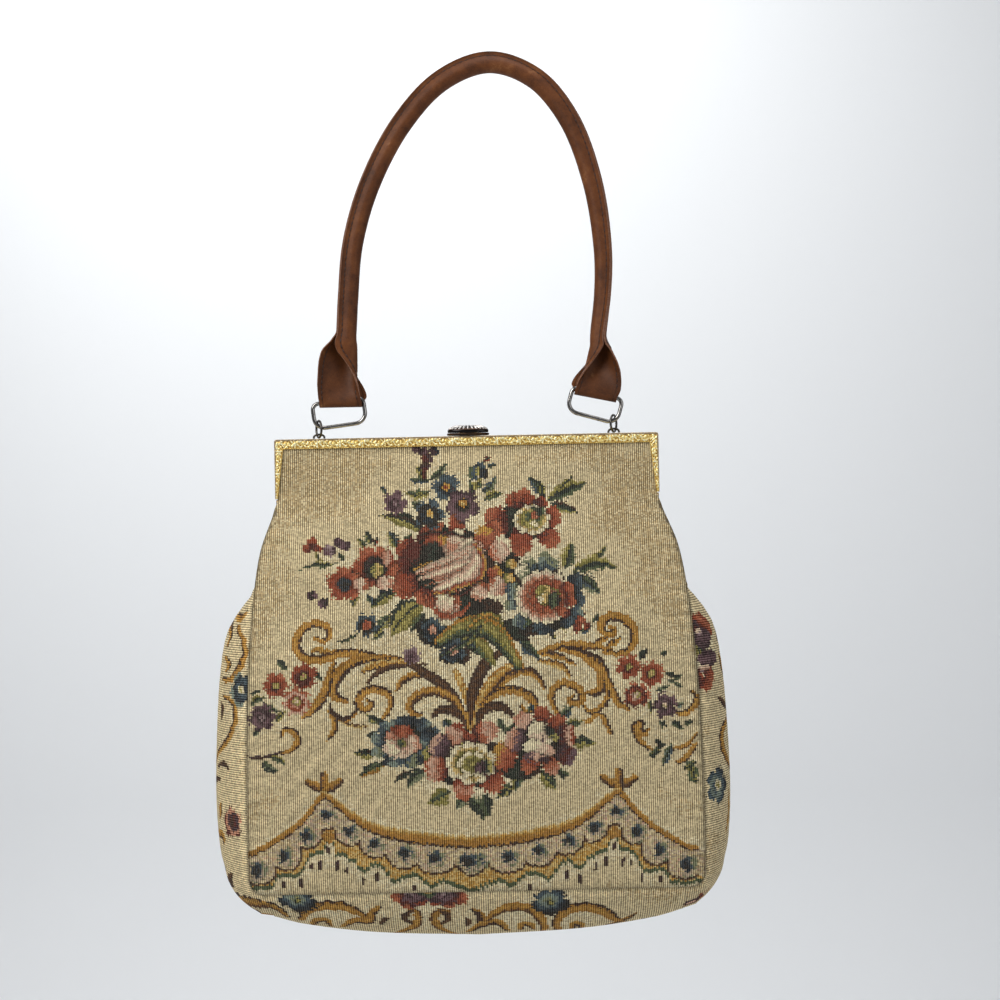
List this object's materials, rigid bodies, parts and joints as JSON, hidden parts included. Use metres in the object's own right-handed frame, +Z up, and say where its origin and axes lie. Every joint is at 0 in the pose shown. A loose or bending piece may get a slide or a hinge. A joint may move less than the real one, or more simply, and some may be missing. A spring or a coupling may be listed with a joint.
{
  "type": "tapestry frame handbag",
  "caption": "Soft tapestry handbag sewn into a hinged gilt clasp frame, with a lift clasp and a rolled leather strap handle on wire rings, hanging by its handle.",
  "frame": {"origin": "underside of the top of the handle, where the bag hangs", "axes": "+Z up, -Y out of the front panel, +X to the right as seen from the front"},
  "size_m": [0.29, 0.083, 0.4972],
  "materials": {
    "tapestry": "ribbed woven tapestry",
    "gilt": "stamped and polished",
    "nickel": "polished, a little tarnished",
    "leather": "smooth, semi-gloss"
  },
  "bodies": {
    "bag": {"front_panel": "tapestry", "back_panel": "tapestry", "gusset": "tapestry", "frame_front": "gilt", "frame_back": "gilt", "hinge_left": "gilt", "hinge_right": "gilt", "handle_eye_left": "nickel", "handle_eye_right": "nickel", "jump_ring_left": "nickel", "jump_ring_right": "nickel", "handle_ring_left": "nickel", "handle_ring_right": "nickel", "handle": "leather"},
    "clasp": {"clasp_lever": "gilt", "clasp_dome": "nickel"}
  },
  "joints": [
    {"name": "clasp_lift", "type": "hinge", "parent": "bag", "child": "clasp", "pos_m": [-0.0164, 0.005, -0.2037], "axis": [-1, 0, 0], "range_deg": [0, 65]}
  ]
}
